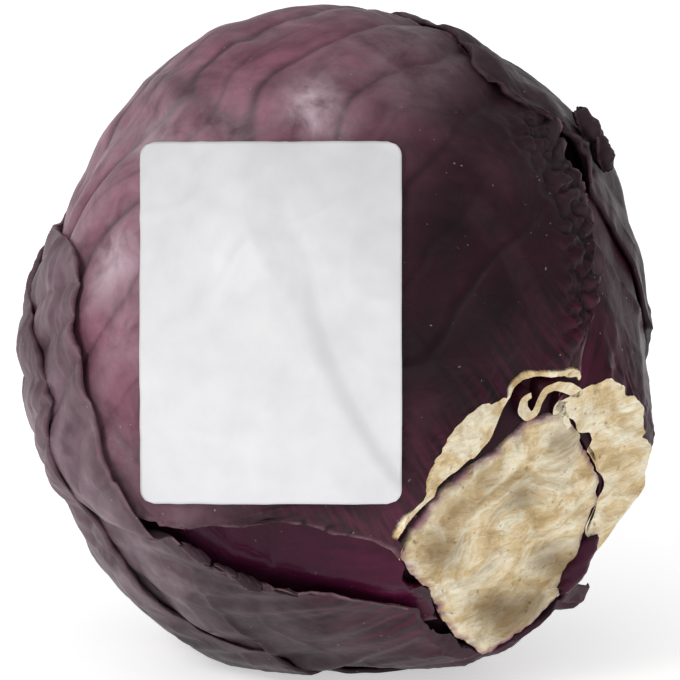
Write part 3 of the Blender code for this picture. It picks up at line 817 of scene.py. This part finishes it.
def build_curl(number):
    """A strip of leaf base that stands on edge and is cut by the knife, so its end shows as a curl."""
    path, thickness = CURLS[number]
    line = smooth_line(np.array(path) * MM, CURL_POINTS)
    points = KNIFE_MIDDLE + line[:, :1] * KNIFE_RIGHT + line[:, 1:] * KNIFE_UP
    along = np.gradient(points, axis=0)
    along /= np.linalg.norm(along, axis=1, keepdims=True)
    side = np.cross(along, KNIFE_NORMAL)
    ends = np.linspace(-1, 1, len(points))
    thick = thickness * MM * (1 - 0.5 * ends**6) * (1 + 0.16 * waves(points, 4 * MM, 71 + number))
    depths = np.linspace(CURL_ABOVE, -CURL_BELOW, CURL_LAYERS)
    outer, inner = [], []
    for point, out, size in zip(points, side, thick):
        for depth in depths:
            outer.append(point + STEM_AXIS * depth + out * size / 2)
            inner.append(point + STEM_AXIS * depth - out * size / 2)
    values = {"rim": np.zeros(len(outer))}
    work = sheet_mesh(np.array(outer), np.array(inner), len(points), len(depths), values)
    cut_with_knife(work)
    return new_object(f"curl_{number}", work)


def build_roll(name, middle, way, radius, length, turns):
    """A bit of leaf rolled up on itself, wrinkled, with ragged ends."""
    middle = np.array(middle) * MM
    way = unit(way)
    out = unit(middle - (middle @ way) * way)
    side = np.cross(way, out)
    rows, columns = ROLL_GRID
    s = np.repeat(np.linspace(-1, 1, rows), columns)
    t = np.tile(np.linspace(0, 1, columns), rows)
    turn = 2 * math.pi * turns * t + 0.5 * s
    place = np.stack([s * 3, t * 9], 1)
    wrinkle = 1 + 0.14 * waves(place, 3.2, 91) + 0.05 * waves(place, 1.0, 92)
    size = radius * MM * (0.42 + 0.58 * t) * wrinkle * (1 - 0.45 * np.abs(s) ** 3)
    ragged = 1 + 0.10 * waves(place, 2.0, 93) * np.abs(s)
    points = middle + (s * ragged * length * MM / 2)[:, None] * way
    arm = np.cos(turn)[:, None] * out + np.sin(turn)[:, None] * side
    outer = points + arm * size[:, None]
    blade = ROLL_BLADE * np.clip(1.2 - np.abs(s) ** 4, 0.3, 1)
    inner = points + arm * (size - blade)[:, None]
    values = {
        "rim": smooth_step((t - 0.96) / 0.04),
        # Painted shade on the roll's inner turns.
        "valley_shade": 0.7 * smooth_step((0.35 - t) / 0.3),
        "edge": smooth_step((t - 0.6) / 0.4),
        "over": t * 9 * MM,
        "along": s * length * MM / 2,
    }
    return new_object(name, sheet_mesh(outer, inner, rows, columns, values))


def dress(made, slot, *materials):
    for item in materials:
        made.data.materials.append(item)
    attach(made, "root")


def label_grid():
    """The label's points from its middle, with its corners rounded off."""
    x = np.linspace(-0.5, 0.5, LABEL_COLUMNS) * LABEL_SIZE[0]
    z = np.linspace(-0.5, 0.5, LABEL_ROWS) * LABEL_SIZE[1]
    x, z = (grid.ravel() for grid in np.meshgrid(x, z))
    into_z = LABEL_SIZE[1] / 2 - np.abs(z)
    down = np.maximum(LABEL_CORNER - into_z, 0)
    cut_x = LABEL_CORNER - np.sqrt(np.maximum(LABEL_CORNER**2 - down**2, 0))
    half = LABEL_SIZE[0] / 2
    x = x * (half - cut_x) / half
    return x, z


def build_label():
    """The blank paper, laid on its leaf. Each pass finds the leaf's surface more closely."""
    x, z = label_grid()
    place = np.stack([x, z], 1)
    wrinkle = 0.10 * MM * waves(place, 22 * MM, 81) + 0.05 * MM * waves(place, 7 * MM, 82)
    fold = 1 - np.abs(waves(place, 30 * MM, 83)) * 3
    wrinkle += 0.16 * MM * np.clip(fold, 0, 1)
    x, z = LABEL_CENTRE[0] + x, LABEL_CENTRE[1] + z
    bed = np.full(len(x), SEAT_DROP)
    for _ in range(8):
        y = -np.sqrt(np.maximum(bed**2 - x**2 - z**2, 0))
        directions = np.stack([x, y, z], 1)
        directions /= np.linalg.norm(directions, axis=1, keepdims=True)
        bed = stack(directions, LABEL_LEAF + 1) - LABEL_PRESS
    outer = directions * (bed + LABEL_PAPER + wrinkle)[:, None]
    inner = directions * (bed + wrinkle)[:, None]
    work = sheet_mesh(outer, inner, LABEL_ROWS, LABEL_COLUMNS, {})
    made = new_object("label_paper", work)
    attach(made, "root")
    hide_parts("label")
    return made


class Shader:
    """A material's node tree, with short calls for the nodes that the materials share."""

    def __init__(self, name):
        self.material = bpy.data.materials.new(name)
        self.material.use_nodes = True
        self.tree = self.material.node_tree
        self.main = self.tree.nodes["Principled BSDF"]
        self.place = self.node("TexCoord").outputs["Object"]

    def feed(self, target, item):
        """Gives an input what another node puts out, a colour or a value."""
        if isinstance(item, bpy.types.NodeSocket):
            self.tree.links.new(item, target)
        elif target.type == "RGBA":
            target.default_value = (*item, 1)
        else:
            target.default_value = item

    def node(self, kind, **inputs):
        """A node with these inputs, which are named in small letters."""
        made = self.tree.nodes.new("ShaderNode" + kind)
        for name, item in inputs.items():
            self.feed(made.inputs[name.replace("_", " ").title()], item)
        return made

    def set(self, **inputs):
        """Sets the main node's inputs."""
        for name, item in inputs.items():
            title = name.replace("_", " ").title().replace("Ior", "IOR")
            self.feed(self.main.inputs[title], item)

    def noise(self, scale, detail=4.0, rough=0.55, stretch=None, distortion=0.0):
        vector = self.place
        if stretch is not None:
            vector = self.node("Mapping", scale=stretch, vector=vector).outputs["Vector"]
        made = self.node(
            "TexNoise", scale=scale, detail=detail, roughness=rough, distortion=distortion,
            vector=vector,
        )
        return made.outputs["Fac"]

    def cells(self, scale, warp):
        """Distance to the lines of a net of cells, bent by noise."""
        bend = self.node("TexNoise", scale=scale * 0.6, vector=self.place)
        bent = self.node("VectorMath")
        bent.operation = "MULTIPLY_ADD"
        for key, item in enumerate((bend.outputs["Color"], (warp, warp, warp), self.place)):
            self.feed(bent.inputs[key], item)
        made = self.node("TexVoronoi", scale=scale, vector=bent.outputs[0])
        made.feature = "DISTANCE_TO_EDGE"
        return made.outputs["Distance"]

    def attribute(self, name):
        made = self.node("Attribute")
        made.attribute_name = name
        return made.outputs["Fac"]

    def leaf_noise(self, along, over, scale, detail):
        """Noise on the leaf's own coordinates, drawn out along it or across it."""
        x = self.times(self.attribute("along"), along)
        y = self.times(self.attribute("over"), over)
        vector = self.node("CombineXYZ", x=x, y=y).outputs[0]
        made = self.node("TexNoise", scale=scale, detail=detail, distortion=0.4, vector=vector)
        return made.outputs["Fac"]

    def ramp(self, source, *stops):
        made = self.node("ValToRGB")
        ramp = made.color_ramp
        while len(ramp.elements) < len(stops):
            ramp.elements.new(0.5)
        for element, (place, colour) in zip(ramp.elements, stops):
            element.position = place
            element.color = (*colour, 1) if isinstance(colour, tuple) else (colour, colour, colour, 1)
        self.feed(made.inputs["Fac"], source)
        return made.outputs["Color"]

    def mix(self, share, first, second):
        made = self.node("Mix")
        made.data_type = "RGBA"
        for key, item in ((0, share), (6, first), (7, second)):
            self.feed(made.inputs[key], item)
        return made.outputs[2]

    def times(self, first, second):
        made = self.node("Math")
        made.operation = "MULTIPLY"
        for key, item in enumerate((first, second)):
            self.feed(made.inputs[key], item)
        return made.outputs[0]

    def toward(self, axis, start, end):
        """0 to 1 as a point goes from start to end, in metres along an axis."""
        made = self.node("VectorMath")
        made.operation = "DOT_PRODUCT"
        for key, item in enumerate((self.place, axis)):
            self.feed(made.inputs[key], item)
        reach = self.node("MapRange", value=made.outputs["Value"], from_min=start, from_max=end)
        reach.interpolation_type = "SMOOTHSTEP"
        return reach.outputs["Result"]

    def bump(self, *heights):
        """Bumps from (source, height in metres) pairs, one over the other."""
        under = {}
        for source, height in heights:
            made = self.node("Bump", distance=height, height=source, **under)
            under = {"normal": made.outputs["Normal"]}
        self.set(**under)


def leaf_material(name, dark, mid, lit, bloom_and_highlight, rough):
    """A leaf's skin: mottled, with painted light at the upper left, veins, bloom mixed with painted
    highlight, painted shade in fine creases and valleys, a dusty edge and specks.
    """
    shader = Shader(name)
    patches = shader.noise(42, 6, 0.62, distortion=0.8)
    body = shader.ramp(patches, (0.36, dark), (0.66, mid))
    # Painted light: towards the upper left the colour is mixed towards the leaf's lit colour.
    lit_side = shader.toward((-0.80, -0.12, 0.50), 0.040, 0.086)
    mottle = shader.ramp(shader.noise(75, 5, 0.6, distortion=1.0), (0.30, 0.35), (0.70, 1.0))
    body = shader.mix(shader.times(lit_side, mottle), body, lit)
    streaks = shader.ramp(shader.leaf_noise(0.14, 1.0, 620, 5), (0.42, 0.0), (0.66, 1.0))
    foot = shader.attribute("foot")
    near_foot = shader.times(foot, 0.6)
    body = shader.mix(shader.times(streaks, near_foot), body, MAGENTA)
    glow = shader.ramp(shader.noise(30, 4, 0.6, distortion=0.6), (0.50, 0.0), (0.68, 1.0))
    body = shader.mix(shader.times(glow, 0.10), body, lit)
    net = shader.ramp(shader.cells(190, 0.005), (0.0, 1.0), (0.10, 0.0))
    # Painted shade: the lines of a fine net of creases are darkened.
    body = shader.mix(shader.times(net, 0.07), body, CREVICE_SHADE)
    vein = shader.attribute("vein")
    body = shader.mix(shader.times(vein, 0.72), body, dark)
    # Bloom mixed with a painted highlight: pale patches, mostly on the swollen panels.
    wax_and_highlight_noise = shader.ramp(shader.noise(95, 5, 0.6, distortion=0.5), (0.36, 0.15), (0.66, 1.0))
    wax_and_highlight = shader.times(shader.attribute("bloom_and_highlight"), shader.times(wax_and_highlight_noise, bloom_and_highlight))
    body = shader.mix(wax_and_highlight, body, BLOOM_AND_HIGHLIGHT)
    edge = shader.attribute("edge")
    dusty_noise = shader.ramp(shader.noise(230, 5, 0.65), (0.36, 0.0), (0.64, 1.0))
    body = shader.mix(shader.times(edge, shader.times(dusty_noise, 0.45)), body, DUSTY)
    rim_noise = shader.ramp(shader.noise(310, 3), (0.35, 0.1), (0.6, 0.8))
    rim = shader.times(shader.attribute("rim"), rim_noise)
    body = shader.mix(rim, body, PALE_RIM)
    specks = shader.ramp(shader.noise(900, 1, 0.4), (0.775, 0.0), (0.81, 1.0))
    body = shader.mix(shader.times(specks, 0.5), body, SPECK)
    # Painted shade: the valleys of the puckers and the inner turns of rolls are darkened.
    body = shader.mix(shader.times(shader.attribute("valley_shade"), 0.8), body, CREVICE_SHADE)
    lip = shader.ramp(shader.noise(260, 4, 0.6), (0.38, FLESH_DEEP), (0.5, FLESH), (0.62, FLESH_PALE))
    body = shader.mix(shader.attribute("lip"), body, lip)
    rough_map = shader.ramp(mottle, (0.3, rough + 0.12), (1.0, rough - 0.04))
    rough_map = shader.mix(edge, rough_map, (0.56, 0.56, 0.56))
    shader.set(base_color=body, roughness=rough_map, ior=1.36, specular_ior_level=0.26)
    shader.bump(
        (net, -0.00003), (shader.noise(330, 5, 0.55, distortion=0.3), 0.00010),
        (shader.noise(95, 3, 0.5), 0.00040),
    )
    return shader.material


def flesh_material(name, stains):
    """Cut flesh: cream swirls and fibres, brown stains and pits, and a purple rim and flank."""
    shader = Shader(name)
    swirl = shader.noise(62, 8, 0.62, distortion=2.2)
    body = shader.ramp(swirl, (0.36, FLESH_DEEP), (0.47, FLESH), (0.57, FLESH_PALE))
    fibre = shader.noise(230, 6, 0.7, stretch=(0.45, 1.0, 1.9), distortion=1.6)
    threads = shader.ramp(fibre, (0.38, FLESH_DEEP), (0.50, FLESH), (0.60, FLESH_PALE))
    body = shader.mix(0.32, body, threads)
    blotches = shader.ramp(shader.noise(60, 6, 0.7, distortion=1.5), (0.50, 0.0), (0.68, 1.0))
    body = shader.mix(shader.times(blotches, stains), body, STAIN)
    body = shader.mix(shader.times(shader.attribute("stain"), 0.9), body, STAIN)
    pits = shader.ramp(shader.noise(480, 4, 0.7), (0.64, 0.0), (0.71, 1.0))
    body = shader.mix(shader.times(pits, 0.5), body, STAIN)
    tint = shader.ramp(shader.noise(150, 3, 0.6), (0.38, 0.0), (0.62, 1.0))
    body = shader.mix(shader.times(shader.attribute("peel"), tint), body, RIM_TINT)
    body = shader.mix(shader.attribute("flank"), body, FLANK)
    shader.set(
        base_color=body, roughness=shader.ramp(swirl, (0.3, 0.85), (0.7, 0.62)),
        specular_ior_level=0.35, subsurface_weight=0.05, subsurface_radius=(0.003, 0.002, 0.001),
    )
    shader.bump((swirl, 0.0014), (fibre, 0.0006), (pits, -0.0003))
    return shader.material


def rim_material():
    """The cut edge of a thin leaf: dark and dull."""
    shader = Shader("cut_rim")
    mottle = shader.noise(160, 5, 0.6)
    body = shader.ramp(mottle, (0.35, (0.028, 0.012, 0.018)), (0.65, (0.070, 0.036, 0.046)))
    shader.set(base_color=body, roughness=0.6, specular_ior_level=0.15)
    shader.bump((mottle, 0.0004))
    return shader.material


def label_material():
    shader = Shader("label_paper")
    mottle = shader.noise(140, 4, 0.5)
    body = shader.ramp(mottle, (0.3, (0.67, 0.67, 0.69)), (0.7, (0.73, 0.73, 0.74)))
    shader.set(base_color=body, roughness=0.42, specular_ior_level=0.45)
    shader.bump((shader.noise(60, 3, 0.5), 0.0004), (shader.noise(1500, 2, 0.5), 0.00002))
    return shader.material


def heart_material():
    """Dark, as painted shade, for the heart is seen only at the bottom of gaps."""
    shader = Shader("heart_dark")
    patches = shader.noise(60, 5, 0.6)
    body = shader.ramp(patches, (0.35, (0.010, 0.002, 0.005)), (0.65, (0.028, 0.007, 0.014)))
    shader.set(base_color=body, roughness=0.7, specular_ior_level=0.15)
    shader.bump((patches, 0.0008))
    return shader.material


def build_camera():
    camera = bpy.data.cameras.new("camera")
    camera.sensor_width = SENSOR
    camera.lens = SENSOR * CAMERA_DISTANCE / PICTURE_WIDTH
    camera.clip_end = 20
    made = bpy.data.objects.new("camera", camera)
    bpy.context.scene.collection.objects.link(made)
    back = Vector((0, -math.cos(TIP_BACK), math.sin(TIP_BACK)))
    made.location = Vector((0, 0, SEAT_DROP)) + back * CAMERA_DISTANCE
    made.rotation_euler = (math.pi / 2 - TIP_BACK, 0, 0)
    bpy.context.scene.camera = made


def area_light(name, place, size, power):
    """A round light that shines on the head's middle."""
    light = bpy.data.lights.new(name, "AREA")
    light.shape = "DISK"
    light.size = size
    light.energy = power
    made = bpy.data.objects.new(name, light)
    bpy.context.scene.collection.objects.link(made)
    made.location = place
    way = Vector((0, 0, SEAT_DROP)) - Vector(place)
    made.rotation_euler = way.to_track_quat("-Z", "Y").to_euler()


def build_studio():
    floor = bpy.data.meshes.new("floor")
    floor.from_pydata([(-3, -3, 0), (3, -3, 0), (3, 3, 0), (-3, 3, 0)], [], [(0, 1, 2, 3)])
    made = bpy.data.objects.new("floor", floor)
    bpy.context.scene.collection.objects.link(made)
    shader = Shader("floor")
    shader.set(
        base_color=FLOOR_COLOUR, roughness=0.8, emission_color=(1, 1, 1),
        emission_strength=FLOOR_GLOW,
    )
    made.data.materials.append(shader.material)
    area_light("key", *KEY_LIGHT)
    area_light("fill", *FILL_LIGHT)
    world = bpy.data.worlds.new("studio")
    world.use_nodes = True
    background = world.node_tree.nodes["Background"]
    background.inputs["Color"].default_value = (1, 1, 1, 1)
    background.inputs["Strength"].default_value = SKY_LIGHT
    bpy.context.scene.world = world
    bpy.context.scene.view_settings.view_transform = "Standard"


def main():
    flesh = flesh_material("cut_flesh", 0.25)
    cuts = {"flesh": flesh, "rim": rim_material()}
    skins = {}
    for number, leaf in enumerate(LEAVES):
        *look, cut = LEAF_LOOKS[leaf.name]
        skins[leaf.name] = leaf_material(leaf.name + "_skin", *look)
        made = build_leaf(number)
        made.data.materials.append(skins[leaf.name])
        made.data.materials.append(cuts[cut])
    build_stump().data.materials.append(flesh_material("stump_flesh", 0.5))
    for number in range(len(CURLS)):
        dress(build_curl(number), "leaf", skins["leaf_right"], flesh)
    for name, middle, way, radius, length, turns, leaf in ROLLS:
        dress(build_roll(name, middle, way, radius, length, turns), "leaf", skins[leaf])
    build_label().data.materials.append(label_material())
    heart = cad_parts["heart"]
    heart.data.materials.clear()
    heart.data.materials.append(heart_material())
    build_camera()
    build_studio()
    bpy.context.view_layer.update()


main()
